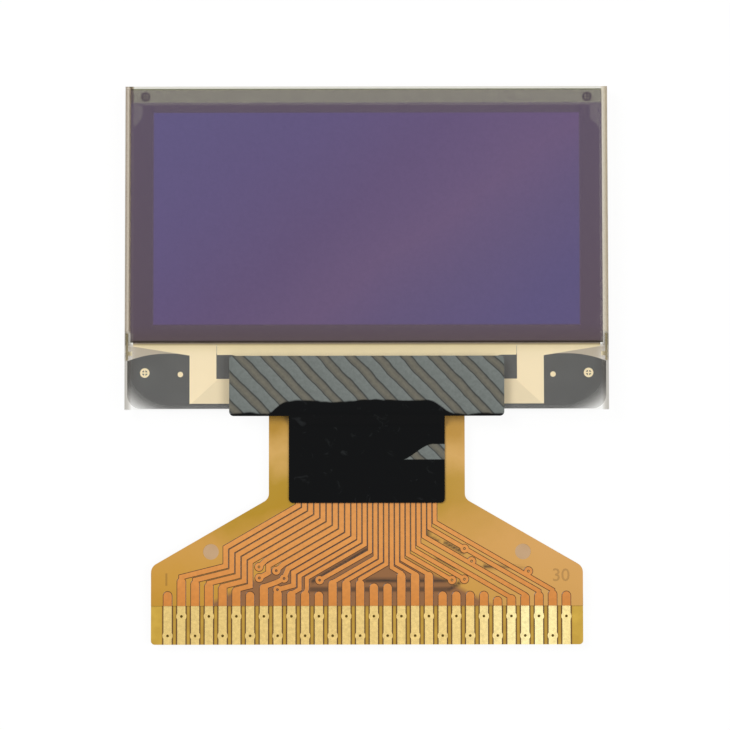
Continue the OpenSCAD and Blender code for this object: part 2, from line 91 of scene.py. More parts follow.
def start(name):
    """Starts a material, and gives its place in millimetres as a vector and as axes."""
    material = bpy.data.materials.new(name)
    material.use_nodes = True
    material.node_tree.nodes.clear()
    place = add(material, "ShaderNodeTexCoord")
    mm = add(material, "ShaderNodeMapping", {"Vector": place.outputs["Object"],
                                             "Scale": (1000, 1000, 1000)})
    axes = add(material, "ShaderNodeSeparateXYZ", {0: mm})
    return material, mm, axes


def hues(material, value, low, high, stops):
    """Gives each value between low and high its hue, through stops of (value, sRGB hex)."""
    share = add(material, "ShaderNodeMapRange", {"Value": value, "From Min": low,
                                                 "From Max": high})
    node = add(material, "ShaderNodeValToRGB", {0: share})
    points = node.color_ramp.elements
    points.remove(points[1])
    points[0].position = (stops[0][0] - low) / (high - low)
    points[0].color = linear(stops[0][1])
    for at, colour in stops[1:]:
        points.new((at - low) / (high - low)).color = linear(colour)
    return node


def finish(material, shader):
    """Ends a material with its shader."""
    add(material, "ShaderNodeOutputMaterial", {"Surface": shader})
    return material


def wear(node, material):
    """Gives a CAD node its material."""
    node.data.materials.clear()
    node.data.materials.append(material)


def merged_copy(name):
    """A copy of a CAD node's shape, with its loose triangles joined."""
    shape = bmesh.new()
    shape.from_mesh(nodes[name].data)
    bmesh.ops.remove_doubles(shape, verts=shape.verts, dist=1e-7)
    return shape


def settle(shape, name, material=None):
    """Ends a shape as an object at the origin, in its material if that is made already."""
    mesh = bpy.data.meshes.new(name)
    shape.to_mesh(mesh)
    shape.free()
    if material:
        mesh.materials.append(material)
    made = bpy.data.objects.new(name, mesh)
    bpy.context.collection.objects.link(made)
    return made


def clear_glass(name, stops):
    """Glass whose faces tint the light by the stops, and mirror a little of it."""
    material, mm, axes = start(name)
    tint = hues(material, axes.outputs[0], -12.4, 12.4, stops)
    # Past the lower edge of the cap the front sheet's edges carry a lighter painted shade
    ledge = add(material, "ShaderNodeMapRange", {"Value": axes.outputs[1], "From Min": -5.7,
                                                 "From Max": -5.9})
    bare = hues(material, axes.outputs[0], -12.4, 12.4, [
        (-12.30, "DEDCD8"), (-12.14, "E6E4E0"), (-12.05, "FEFEFD"), (12.05, "FEFEFD"),
        (12.14, "E6E4E0"), (12.30, "DEDCD8")])
    mixed = add(material, "ShaderNodeMix", {"Factor": ledge, "A": tint, "B": bare},
                data_type="RGBA")
    face = add(material, "ShaderNodeBsdfTransparent", {"Color": mixed.outputs["Result"]})
    shine = add(material, "ShaderNodeBsdfGlossy", {"Color": linear("FFFFFF"),
                                                   "Roughness": 0.04})
    fresnel = add(material, "ShaderNodeFresnel", {"IOR": 1.35})
    return finish(material, add(material, "ShaderNodeMixShader", {0: fresnel, 1: face,
                                                                  2: shine}))


# Polished glass, nearly clear: only its snapped sides are tinted grey, with a fine dark line,
# as painted light and shade of the edges
front_glass = clear_glass("polished_display_glass", [
    (-12.33, "CEC9C2"), (-12.29, "F8F3EF"), (-12.17, "F4EFE9"), (-12.13, "B6ACA0"),
    (-12.01, "C0B6AA"), (-11.98, "FEFEFD"), (12.03, "FEFEFD"), (12.05, "FBF7EF"),
    (12.17, "F9F5ED"), (12.20, "F3EEE6"), (12.29, "F3EEE4"), (12.33, "D4CEC4")])
# The same glass, etched and washed, with a paler painted shade at its sides
cap = clear_glass("etched_cap_glass", [
    (-12.33, "E0DCD4"), (-12.28, "F6F5F1"), (12.28, "F6F5F1"), (12.33, "E4E0D8")])

# The front sheet stands a hair clear of the films on both faces, so no two faces coincide
hair = 0.0000015
glass_low, glass_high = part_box("substrate_glass")
shape = merged_copy("substrate_glass")
for vert in shape.verts:
    vert.co.z += hair if vert.co.z < (glass_low.z + glass_high.z) / 2 else -hair
sheet = settle(shape, "front_glass_sheet", front_glass)
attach(sheet, "root")
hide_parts("substrate_glass")
wear(nodes["cap_glass"], cap)


# ---- Seal and what the cap hides ----
# A bead of clear epoxy, cured under ultraviolet light, joins the sheets. In the pocket
# lies a thin white sheet that takes up moisture.

# Cured epoxy, water-clear: it dims what lies behind it by a few hundredths
seal, mm, axes = start("cured_clear_epoxy")
grain = add(seal, "ShaderNodeTexNoise", {"Vector": mm, "Scale": 3.0, "Detail": 3.0})
tint = add(seal, "ShaderNodeMapRange", {"Value": grain, "To Min": 0.90, "To Max": 0.97})
finish(seal, add(seal, "ShaderNodeBsdfTransparent", {"Color": tint}))
wear(nodes["seal_frame"], seal)

# Pressed oxide powder: dull white, with a fine grain of about 0.1 mm
desiccant, mm, axes = start("pressed_oxide_sheet")
grain = add(desiccant, "ShaderNodeTexNoise", {"Vector": mm, "Scale": 8.0, "Detail": 4.0})
relief = add(desiccant, "ShaderNodeBump", {"Height": grain, "Strength": 0.3,
                                           "Distance": 0.00002})
finish(desiccant, add(desiccant, "ShaderNodeBsdfPrincipled", {
    "Base Color": linear("E4E4DF"), "Roughness": 0.9, "Normal": relief}))
wear(nodes["desiccant_sheet"], desiccant)


# ---- Polarizer ----
# A laminated grey film over the whole display, cut with a blade. It halves the light
# from behind and swallows what the metal under it would mirror.

lit_x, lit_y = 10.84, 5.40  # half the width and height of the lit area, in millimetres
blend = 0.08                # width of its soft edge
bare_band = 5.95            # where the bare band at the top begins

# Stretched and dyed film with a satin coat. Switched off it shows a dull violet haze over
# the lit area, bluer at the upper left and lower right, and plum round it: this is painted
# on the film's face as the light that the layers beneath send back through it. The haze
# is thinner over the bare band at the top, where what lies behind shows grey.
polarizer, mm, axes = start("satin_polarizing_film")
lean = add(polarizer, "ShaderNodeMath", {0: axes.outputs[1], 1: -1.3, 2: axes.outputs[0]},
           operation="MULTIPLY_ADD")
cloud = add(polarizer, "ShaderNodeTexNoise", {"Vector": mm, "Scale": 0.14, "Detail": 2.0})
drift = add(polarizer, "ShaderNodeMath", {0: cloud, 1: 4.0, 2: lean},
            operation="MULTIPLY_ADD")
violet = hues(polarizer, drift, -14, 18, [(-14, "554C76"), (-7, "564A73"), (0, "58486D"),
                                          (6, "5E4C6E"), (11, "574A6E"), (17, "514870")])
aside = add(polarizer, "ShaderNodeMath", {0: axes.outputs[0]}, operation="ABSOLUTE")
above = add(polarizer, "ShaderNodeMath", {0: axes.outputs[1]}, operation="ABSOLUTE")
past_side = add(polarizer, "ShaderNodeMapRange", {"Value": aside, "From Min": lit_x,
                                                  "From Max": lit_x + blend})
past_end = add(polarizer, "ShaderNodeMapRange", {"Value": above, "From Min": lit_y,
                                                 "From Max": lit_y + blend})
off = add(polarizer, "ShaderNodeMath", {0: past_side, 1: past_end}, operation="MAXIMUM")
# Painted shade: thin dark lines along the film's cut edges at the bottom and the top
plum = hues(polarizer, axes.outputs[1], -6.4, 6.8, [
    (-6.35, "221608"), (-6.30, "2A1C10"), (-6.25, "55474F"), (-5.4, "57495A"),
    (5.3, "594C62"), (6.60, "5A4E60"), (6.64, "1E1C1A"), (6.69, "2A2826")])
hue = add(polarizer, "ShaderNodeMix", {"Factor": off, "A": violet, "B": plum},
          data_type="RGBA")
speck = add(polarizer, "ShaderNodeTexNoise", {"Vector": mm, "Scale": 5.0, "Detail": 5.0,
                                              "Roughness": 0.85})
mottle = add(polarizer, "ShaderNodeMapRange", {"Value": speck, "From Min": 0.3,
                                               "From Max": 0.7, "To Min": 0.93,
                                               "To Max": 1.07})
# Painted shade: the haze is a little darker towards the left
painted_left_shade = add(polarizer, "ShaderNodeMapRange", {"Value": axes.outputs[0], "From Min": -4.0,
                                             "From Max": 6.5, "To Min": 0.93})
shade = add(polarizer, "ShaderNodeMath", {0: mottle, 1: painted_left_shade}, operation="MULTIPLY")
sheen = add(polarizer, "ShaderNodeVectorMath", {0: hue.outputs["Result"], "Scale": shade},
            operation="SCALE")
# The painted haze: the violet and plum light of the layers beneath, laid on the film's face
painted_haze = add(polarizer, "ShaderNodeBsdfPrincipled", {
    "Base Color": sheen, "Roughness": 0.35, "Specular IOR Level": 0.25})
film = add(polarizer, "ShaderNodeBsdfTransparent", {"Color": linear("E3E4D6")})
place = add(polarizer, "ShaderNodeTexCoord")
facing = add(polarizer, "ShaderNodeSeparateXYZ", {0: place.outputs["Normal"]})
veil = add(polarizer, "ShaderNodeMapRange", {"Value": off, "To Min": 0.86, "To Max": 0.64})
band = add(polarizer, "ShaderNodeMapRange", {"Value": axes.outputs[1],
                                             "From Min": bare_band,
                                             "From Max": bare_band + 0.05,
                                             "To Max": -0.28})
share = add(polarizer, "ShaderNodeMath", {0: veil, 1: band}, operation="ADD")
top = add(polarizer, "ShaderNodeMapRange", {"Value": facing.outputs[2], "From Min": 0.4,
                                            "From Max": 0.6, "To Max": share})
finish(polarizer, add(polarizer, "ShaderNodeMixShader", {0: top, 1: film, 2: painted_haze}))
wear(nodes["polarizer"], polarizer)


# ---- Light-emitting matrix ----
# Columns of conducting oxide in front, a thin organic stack, and rows of evaporated
# aluminium behind it. Switched off it is a pale violet, bluer towards two corners where
# the stack is a little thicker.

def matrix_film(name, inner, warm, outer, roughness):
    """A deposited film, inner to warm along a diagonal, and outer past the lit area."""
    material, mm, axes = start(name)
    lean = add(material, "ShaderNodeMath", {0: axes.outputs[0], 1: 0.75, 2: axes.outputs[1]},
               operation="MULTIPLY_ADD")
    cloud = add(material, "ShaderNodeTexNoise", {"Vector": mm, "Scale": 0.16, "Detail": 2.0})
    drift = add(material, "ShaderNodeMath", {0: cloud, 1: 4.0, 2: lean},
                operation="MULTIPLY_ADD")
    hue = hues(material, drift, -14, 14, [(-14, inner), (-6.5, inner), (-1, warm), (6, warm),
                                          (12, inner)])
    speck = add(material, "ShaderNodeTexNoise", {"Vector": mm, "Scale": 5.0, "Detail": 5.0,
                                                 "Roughness": 0.85})
    mottle = add(material, "ShaderNodeMapRange", {"Value": speck, "From Min": 0.3,
                                                  "From Max": 0.7, "To Min": 0.88,
                                                  "To Max": 1.1})
    lit = add(material, "ShaderNodeVectorMath", {0: hue, "Scale": mottle}, operation="SCALE")
    up = add(material, "ShaderNodeMath", {0: axes.outputs[1]}, operation="ABSOLUTE")
    off = add(material, "ShaderNodeMapRange", {"Value": up, "From Min": lit_y,
                                              "From Max": lit_y + 0.06})
    colour = add(material, "ShaderNodeMix", {"Factor": off, "A": lit, "B": linear(outer)},
                 data_type="RGBA")
    return finish(material, add(material, "ShaderNodeBsdfPrincipled", {
        "Base Color": colour.outputs["Result"], "Roughness": roughness}))


# Sputtered oxide and evaporated dyes: both thin enough to colour by interference
oxide = matrix_film("conducting_oxide", "9A8CC4", "A48CC0", "908498", 0.5)
wear(nodes["anode_columns"], oxide)
dyes = matrix_film("organic_stack", "9082BA", "9A84B6", "867A90", 0.6)
wear(nodes["emitting_layer"], dyes)

# Evaporated metal, seen through the violet stack
rows, mm, axes = start("evaporated_aluminium")
finish(rows, add(rows, "ShaderNodeBsdfPrincipled", {
    "Base Color": linear("B0A0BA"), "Metallic": 0.3, "Roughness": 0.5}))
wear(nodes["cathode_rows"], rows)


# ---- Leads and marks ----
# Sputtered pale metal, etched into leads too fine to tell apart, so each bundle looks
# like one cream sheet, with a painted shade a little darker where its leads turn. Under
# the polarizer the same metal is painted dark, in place of the light the film swallows,
# and a painted shadow lies along the cap's lower edge.

def pale_metal(name, cream, turned_shade):
    """Leads in cream on the ledge, painted dark under the polarizer, and with painted shade
    where they turn.
    """
    material, mm, axes = start(name)
    # Painted: a shadow band along the cap's lower edge, and dark shade under the polarizer
    under = hues(material, axes.outputs[1], -9.8, 6.9, [
        (-9.80, cream), (-6.47, cream), (-6.44, "C8B48C"), (-6.37, "BCA67E"),
        (-6.33, "6A5E6A"), (5.90, "6E626C")])
    # The row leads turn on a slanting line that falls 0.92 mm for each millimetre outwards
    side = add(material, "ShaderNodeMath", {0: axes.outputs[0]}, operation="ABSOLUTE")
    mitre = add(material, "ShaderNodeMath", {0: side, 1: 0.92, 2: axes.outputs[1]},
                operation="MULTIPLY_ADD")
    painted_turn_shade = add(material, "ShaderNodeMapRange", {"Value": mitre, "From Min": -1.20,
                                                  "From Max": -1.17,
                                                  "To Min": turned_shade})
    wires = add(material, "ShaderNodeTexNoise", {"Vector": mm, "Scale": 2.5, "Detail": 4.0})
    shade = add(material, "ShaderNodeMapRange", {"Value": wires, "To Min": 0.96,
                                                 "To Max": 1.02})
    depth = add(material, "ShaderNodeMath", {0: painted_turn_shade, 1: shade}, operation="MULTIPLY")
    tone = add(material, "ShaderNodeVectorMath", {0: under, "Scale": depth},
               operation="SCALE")
    level = add(material, "ShaderNodeNewGeometry")
    return finish(material, add(material, "ShaderNodeBsdfPrincipled", {
        "Base Color": tone, "Roughness": 0.45, "Normal": level.outputs["True Normal"]}))


# Sputtered metal, pale and satin. The row leads carry a painted shade where they turn.
row_metal = pale_metal("sputtered_row_metal", "F6E4C0", 0.88)
column_metal = pale_metal("sputtered_column_metal", "F4E2BA", 1.0)
for name in ("row_leads_left", "row_leads_right"):
    wear(nodes[name], row_metal)
for name in ("column_leads", "input_leads", "alignment_marks"):
    wear(nodes[name], column_metal)

# The same metal in the wide strips at the sides, brighter as nothing divides it
bare, mm, axes = start("sputtered_metal_at_the_edge")
wires = add(bare, "ShaderNodeTexNoise", {"Vector": mm, "Scale": 4.0, "Detail": 4.0})
tone = hues(bare, wires, 0.3, 0.7, [(0.3, "F0E2BC"), (0.7, "FBF0D2")])
finish(bare, add(bare, "ShaderNodeBsdfPrincipled", {"Base Color": tone,
                                                    "Roughness": 0.45}))
wear(nodes["edge_strips"], bare)

# A thin resist lies behind the leads and shows their metal's colour, so no light comes
# through between them. Its upper corners are stepped in as the leads' own are.
low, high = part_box("row_leads_left")
out = -low.x
step_in = 0.00045
foot, shoulder = -0.0064, 0.00479
gap, thickness = 0.000004, 0.000003
outline = [(-out, foot), (out, foot), (out, shoulder), (out - step_in, shoulder + step_in),
           (out - step_in, high.y), (step_in - out, high.y),
           (step_in - out, shoulder + step_in), (-out, shoulder)]
shape = bmesh.new()
sheet = shape.faces.new([shape.verts.new((x, y, low.z - gap)) for x, y in outline])
bmesh.ops.solidify(shape, geom=[sheet], thickness=thickness)
bmesh.ops.recalc_face_normals(shape, faces=shape.faces)
resist_piece = settle(shape, "insulating_resist", column_metal)
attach(resist_piece, "root")


# ---- Driver chip and its resin ----
# A bare silicon chip bonded face down on the glass. Dark silicone resin is poured round
# it over the ledge, and thins out to nothing at the outer corners.

# Silicon ground on its back: dark grey, with fine grinding marks and a dull shine
silicon, mm, axes = start("ground_silicon")
grind = add(silicon, "ShaderNodeTexNoise", {"Vector": mm, "Scale": 14.0, "Detail": 3.0})
relief = add(silicon, "ShaderNodeBump", {"Height": grind, "Strength": 0.2,
                                         "Distance": 0.000004})
finish(silicon, add(silicon, "ShaderNodeBsdfPrincipled", {
    "Base Color": linear("3C3E44"), "Metallic": 0.6, "Roughness": 0.32, "Normal": relief}))
wear(nodes["driver_chip"], silicon)

# Cured adhesive film filled with conducting balls, in a speckled grey-brown
bond, mm, axes = start("filled_bond_film")
balls = add(bond, "ShaderNodeTexNoise", {"Vector": mm, "Scale": 9.0, "Detail": 2.0})
tone = hues(bond, balls, 0.3, 0.7, [(0.3, "8E8676"), (0.7, "A69D8A")])
finish(bond, add(bond, "ShaderNodeBsdfPrincipled", {"Base Color": tone, "Roughness": 0.6}))
wear(nodes["chip_bond_film"], bond)
wear(nodes["flex_bond_film"], bond)

# Silicone resin, poured: dark grey and faintly uneven, fading to clear at its thin rim
resin, mm, axes = start("poured_silicone_resin")
side = add(resin, "ShaderNodeMath", {0: axes.outputs[0]}, operation="ABSOLUTE")
across = add(resin, "ShaderNodeMapRange", {"Value": side, "From Min": 9.5, "From Max": 12.3})
down = add(resin, "ShaderNodeMapRange", {"Value": axes.outputs[1], "From Min": -7.9,
                                         "From Max": -9.75})
reach = add(resin, "ShaderNodeCombineXYZ", {0: across, 1: down})
corner = add(resin, "ShaderNodeVectorMath", {0: reach}, operation="LENGTH")
thin = add(resin, "ShaderNodeMapRange", {"Value": corner.outputs["Value"], "From Min": 0.70,
                                         "From Max": 1.38}, interpolation_type="SMOOTHSTEP")
flank = add(resin, "ShaderNodeMapRange", {"Value": side, "From Min": 11.75,
                                          "From Max": 12.15, "To Max": 0.35})
brim = add(resin, "ShaderNodeMapRange", {"Value": axes.outputs[1], "From Min": -9.3,
                                         "From Max": -9.6, "To Max": 0.30})
fringe = add(resin, "ShaderNodeMath", {0: flank, 1: brim}, operation="MAXIMUM")
fading = add(resin, "ShaderNodeMath", {0: thin, 1: fringe}, operation="MAXIMUM")
flow = add(resin, "ShaderNodeTexNoise", {"Vector": mm, "Scale": 1.2, "Detail": 3.0})
tone = hues(resin, flow, 0.3, 0.7, [(0.3, "4C4C4C"), (0.7, "545454")])
relief = add(resin, "ShaderNodeBump", {"Height": flow, "Strength": 0.3, "Distance": 0.00003})
body = add(resin, "ShaderNodeBsdfPrincipled", {"Base Color": tone, "Roughness": 0.45,
                                               "Normal": relief})
gone = add(resin, "ShaderNodeBsdfTransparent", {"Color": linear("FAFAFA")})
finish(resin, add(resin, "ShaderNodeMixShader", {0: fading, 1: body, 2: gone}))
wear(nodes["ledge_coating"], resin)


# ---- Base film and copper of the flexible circuit ----
# Amber polyimide film with copper on both sides. The foot is bare film between gilt
# contacts, and each contact has a plated hole through to the one behind it.

contact_pitch = 0.7   # from one gilt contact to the next, in millimetres
last_contact = 10.45  # how far out to each side the contacts reach

# Cast polyimide, olive amber. Beside each contact it is darker with painted shade.
polyimide, mm, axes = start("cast_polyimide_film")
cloud = add(polyimide, "ShaderNodeTexNoise", {"Vector": mm, "Scale": 1.6, "Detail": 4.0})
tone = hues(polyimide, cloud, 0.25, 0.75, [(0.25, "A88420"), (0.75, "BC9830")])
count = add(polyimide, "ShaderNodeMath", {0: axes.outputs[0], 1: contact_pitch},
            operation="DIVIDE")
share = add(polyimide, "ShaderNodeMath", {0: count}, operation="FRACT")
# Painted shade: the film darkens towards each contact's edge
shadow = hues(polyimide, share, 0, 1, [(0.00, "F6F4EC"), (0.09, "E4DCC4"), (0.13, "8A7038"),
                                       (0.20, "3C2A08"), (0.80, "3C2A08"),
                                       (0.87, "8A7038"), (0.91, "E4DCC4"),
                                       (1.00, "F6F4EC")])
shaded_between_contacts = add(polyimide, "ShaderNodeMix", {"Factor": 1.0, "A": tone, "B": shadow},
             data_type="RGBA", blend_type="MULTIPLY")
out = add(polyimide, "ShaderNodeMath", {0: axes.outputs[0]}, operation="ABSOLUTE")
past = add(polyimide, "ShaderNodeMath", {0: out, 1: last_contact},
           operation="GREATER_THAN")
film_tone = add(polyimide, "ShaderNodeMix", {"Factor": past, "A": shaded_between_contacts.outputs["Result"],
                                             "B": tone}, data_type="RGBA")
relief = add(polyimide, "ShaderNodeBump", {"Height": cloud, "Strength": 0.2,
                                           "Distance": 0.00003})
finish(polyimide, add(polyimide, "ShaderNodeBsdfPrincipled", {
    "Base Color": film_tone.outputs["Result"], "Roughness": 0.38, "Normal": relief}))
wear(nodes["flex_base"], polyimide)

# Rolled copper foil, etched: salmon, with a soft metal shine
copper, mm, axes = start("etched_copper_foil")
grain = add(copper, "ShaderNodeTexNoise", {"Vector": mm, "Scale": 10.0, "Detail": 3.0})
tone = hues(copper, grain, 0.3, 0.7, [(0.3, "D08A50"), (0.7, "E8A468")])
finish(copper, add(copper, "ShaderNodeBsdfPrincipled", {
    "Base Color": tone, "Metallic": 0.7, "Roughness": 0.4}))
for name in ("front_copper", "back_copper", "via_barrels"):
    wear(nodes[name], copper)

# Pressed adhesive, brown amber where it is squeezed between the traces
adhesive, mm, axes = start("amber_laminating_adhesive")
cloud = add(adhesive, "ShaderNodeTexNoise", {"Vector": mm, "Scale": 1.5, "Detail": 3.0})
tone = hues(adhesive, cloud, 0.3, 0.7, [(0.3, "A87028"), (0.7, "BC8234")])
finish(adhesive, add(adhesive, "ShaderNodeBsdfPrincipled", {
    "Base Color": tone, "Roughness": 0.5}))
wear(nodes["front_adhesive"], adhesive)
wear(nodes["back_adhesive"], adhesive)


# ---- Gilt contacts ----
# Copper plated with nickel and a flash of gold, slightly rough from the etch. The gold
# is paler and greyer on the left, and brighter on the right.

# Gold over nickel: a worn, mottled yellow whose grain is drawn coarser than the real one
gilt, mm, axes = start("electroless_gold_plate")
grain = add(gilt, "ShaderNodeTexNoise", {"Vector": mm, "Scale": 6.0, "Detail": 5.0,
                                         "Roughness": 0.7})
hue = hues(gilt, axes.outputs[0], -10.4, 10.4, [(-10.4, "E2C47A"), (-2, "E6C67C"),
                                                (5, "ECCE84"), (8.5, "FFEFAE"),
                                                (10.4, "F4DC94")])
worn = add(gilt, "ShaderNodeMapRange", {"Value": grain, "From Min": 0.3, "From Max": 0.7,
                                        "To Min": 0.80, "To Max": 1.15})
tone = add(gilt, "ShaderNodeVectorMath", {0: hue, "Scale": worn}, operation="SCALE")
relief = add(gilt, "ShaderNodeBump", {"Height": grain, "Strength": 0.5,
                                      "Distance": 0.00001})
finish(gilt, add(gilt, "ShaderNodeBsdfPrincipled", {
    "Base Color": tone, "Metallic": 0.55, "Roughness": 0.36, "Normal": relief}))
wear(nodes["front_contacts"], gilt)
wear(nodes["back_contacts"], gilt)


# ---- Cover films ----
# A thin amber film is laminated over each side of the circuit. In front it follows the
# copper in low ridges, with painted shade dark down their sides in the narrow gaps
# between the traces, and the wide copper behind shows through as a browner patch.

cover_low, cover_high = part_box("front_coverlay")
sunk = 0.000018     # how far the film lies below the ridges
spread = 0.000045   # how far the side of a ridge slopes out
seam_reach = 0.16   # how far a seam shows to each side, in millimetres
seam_cut = 0.12     # from cut to cut where the film takes the seams, in millimetres


def painted_seam_shade_at(x, y):
    """How much painted shade lies along the seams of the copper behind, at a place in
    millimetres.
    """
    seams = [((-0.05, -18.47), (4.1, -18.47)), ((-2.85, -18.92), (4.2, -18.92)),
             ((4.2, -18.92), (4.7, -18.60)), ((0.0, -16.9), (-2.75, -18.5)),
             ((4.0, -16.55), (4.9, -17.05)), ((6.0, -17.75), (6.9, -18.1)),
             ((3.0, -16.2), (3.6, -16.5)), ((3.6, -17.3), (4.5, -17.8))]
    dark = 0
    for (x0, y0), (x1, y1) in seams:
        run = Vector((x1 - x0, y1 - y0))
        share = max(0, min(1, (Vector((x - x0, y - y0)) @ run) / run.length_squared))
        gap = (Vector((x - x0, y - y0)) - run * share).length
        dark = max(dark, 1 - gap / seam_reach)
    return max(0, dark)


def cut(shape, axis, at):
    """Cuts a shape's faces right across an axis, so they can bend or take a shade there."""
    place = Vector((0, 0, 0))
    place[axis] = at
    normal = Vector((0, 0, 0))
    normal[axis] = 1
    bmesh.ops.bisect_plane(shape, geom=shape.verts[:] + shape.edges[:] + shape.faces[:],
                           plane_co=place, plane_no=normal)


shape = merged_copy("front_coverlay")
for axis, first, last in ((0, -3.6, 6.0), (1, -19.7, -16.2)):
    steps = round((last - first) / seam_cut)
    for step in range(steps + 1):
        cut(shape, axis, (first + step * (last - first) / steps) / 1000)
for vert in shape.verts:
    if vert.co.z > cover_high.z - 1e-7:
        vert.co.z -= sunk
film = settle(shape, "front_cover_film")
seam_shade = film.data.attributes.new("seam_shade", "FLOAT", "POINT")
for vert, value in zip(film.data.vertices, seam_shade.data):
    value.value = painted_seam_shade_at(vert.co.x * 1000, vert.co.y * 1000)

# The ridges start from the top of the copper, and a skirt slopes down round each trace
# until it dips just under the film
shape = merged_copy("front_copper")
low = [f for f in shape.faces if f.normal.z < 0.9]
bmesh.ops.delete(shape, geom=low, context="FACES")
bmesh.ops.bisect_plane(shape, geom=shape.verts[:] + shape.edges[:] + shape.faces[:],
                       plane_co=(0, cover_high.y, 0), plane_no=(0, 1, 0), clear_outer=True)
for vert in shape.verts:
    vert.co.z = cover_high.z
bmesh.ops.dissolve_limit(shape, angle_limit=0.01, verts=shape.verts, edges=shape.edges)
lean = {}
for edge in shape.edges:
    if edge.is_boundary:
        loop = edge.link_loops[0]
        run = (loop.link_loop_next.vert.co - loop.vert.co).normalized()
        for vert in edge.verts:
            lean.setdefault(vert, []).append(Vector((run.y, -run.x, 0)))
rims = [e for e in shape.edges if e.is_boundary]
skirt = bmesh.ops.extrude_edge_only(shape, edges=rims)["geom"]
fresh = {v for v in skirt if isinstance(v, bmesh.types.BMVert)}
for vert in fresh:
    old = next(e.other_vert(vert) for e in vert.link_edges if e.other_vert(vert) in lean
               and e.other_vert(vert) not in fresh)
    sides = lean[old]
    out = sides[0] + sides[-1]
    out = out / max(0.35, 1 + sides[0].dot(sides[-1]))
    vert.co += out * spread
    vert.co.z = cover_high.z - sunk * 1.3
    vert.co.y = max(vert.co.y, cover_low.y)
bmesh.ops.recalc_face_normals(shape, faces=shape.faces)
ridges = settle(shape, "cover_film_ridges")

# Laminated polyimide, smooth amber: greener up the neck, rosier on the right, and brown
# over the wide copper behind, with soft dark lines of painted shade along its seams
cover, mm, axes = start("laminated_polyimide_cover")
cloud = add(cover, "ShaderNodeTexNoise", {"Vector": mm, "Scale": 0.5, "Detail": 4.0})
along = add(cover, "ShaderNodeMath", {0: cloud, 1: 3.0, 2: axes.outputs[1]},
            operation="MULTIPLY_ADD")
tone = hues(cover, along, -19, -8, [(-19, "A87A12"), (-17, "B4842A"), (-15, "B8883A"),
                                    (-13.2, "A07A0A"), (-11.8, "A07C14"),
                                    (-10.3, "BC944E"), (-9, "A07820")])
rosy = add(cover, "ShaderNodeMapRange", {"Value": axes.outputs[0], "From Min": 2.0,
                                         "From Max": 9.0, "To Max": 0.5})
tinted = add(cover, "ShaderNodeMix", {"Factor": rosy, "A": tone, "B": linear("C8985E")},
             data_type="RGBA")
across = add(cover, "ShaderNodeMath", {0: axes.outputs[0], 1: -0.9}, operation="SUBTRACT")
spanned = add(cover, "ShaderNodeMath", {0: across}, operation="ABSOLUTE")
patch = add(cover, "ShaderNodeMath", {0: spanned, 1: 0.55, 2: axes.outputs[1]},
            operation="MULTIPLY_ADD")
inner = add(cover, "ShaderNodeMapRange", {"Value": patch, "From Min": -15.6,
                                          "From Max": -15.9})
brown = add(cover, "ShaderNodeMix", {"Factor": inner, "A": tinted.outputs["Result"],
                                     "B": linear("80552E")},
            data_type="RGBA")
# Painted shade along the seams of the copper behind
seam_shade = add(cover, "ShaderNodeAttribute", attribute_name="seam_shade")
seam_shaded = add(cover, "ShaderNodeMix", {"Factor": seam_shade.outputs["Fac"],
                                      "A": brown.outputs["Result"], "B": linear("24170A")},
             data_type="RGBA")
fine = add(cover, "ShaderNodeTexNoise", {"Vector": mm, "Scale": 4.0, "Detail": 3.0})
relief = add(cover, "ShaderNodeBump", {"Height": fine, "Strength": 0.15,
                                       "Distance": 0.00002})
finish(cover, add(cover, "ShaderNodeBsdfPrincipled", {
    "Base Color": seam_shaded.outputs["Result"], "Roughness": 0.3, "Normal": relief}))
film.data.materials.append(cover)

# The same film pressed over copper: orange on the crowns, and near black down their sides as
# painted shade
ridged, mm, axes = start("cover_film_over_copper")
place = add(ridged, "ShaderNodeTexCoord")
facing = add(ridged, "ShaderNodeSeparateXYZ", {0: place.outputs["Normal"]})
grain = add(ridged, "ShaderNodeTexNoise", {"Vector": mm, "Scale": 5.0, "Detail": 4.0})
low_down = hues(ridged, axes.outputs[1], -19.8, -14.0, [
    (-19.8, "BC7428"), (-18.6, "C27C34"), (-16.5, "C8843C"), (-14.0, "C4823E")])
worn = add(ridged, "ShaderNodeMapRange", {"Value": grain, "From Min": 0.3, "From Max": 0.7,
                                          "To Min": 0.92, "To Max": 1.06})
crown = add(ridged, "ShaderNodeVectorMath", {0: low_down, "Scale": worn}, operation="SCALE")
crown_or_painted_shade = add(ridged, "ShaderNodeMapRange", {"Value": facing.outputs[2], "From Min": 0.97,
                                          "From Max": 0.995})
tone = add(ridged, "ShaderNodeMix", {"Factor": crown_or_painted_shade, "A": linear("3E2006"), "B": crown},
           data_type="RGBA")
finish(ridged, add(ridged, "ShaderNodeBsdfPrincipled", {
    "Base Color": tone.outputs["Result"], "Roughness": 0.34}))
ridges.data.materials.append(ridged)

# Pin numbers at the two ends of the foot, raised a little in the film
shape = bmesh.new()
for text, left, low, size in (("1", -10.45, -18.72, 0.92), ("30", 9.42, -18.50, 0.92)):
    letters = bpy.data.curves.new("pin_number", "FONT")
    letters.body = text
    letters.size = size / 1000
    letters.extrude = 0.000006
    letters.resolution_u = 3
    stand_in = bpy.data.objects.new("pin_number", letters)
    outline = bpy.data.meshes.new_from_object(stand_in)
    outline.transform(Matrix.Translation((left / 1000, low / 1000,
                                          cover_high.z - sunk + 0.000002)))
    shape.from_mesh(outline)
    bpy.data.objects.remove(stand_in)
    bpy.data.curves.remove(letters)
    bpy.data.meshes.remove(outline)
bmesh.ops.remove_doubles(shape, verts=shape.verts, dist=1e-7)
bmesh.ops.recalc_face_normals(shape, faces=shape.faces)
numbers = settle(shape, "pin_numbers", cover)
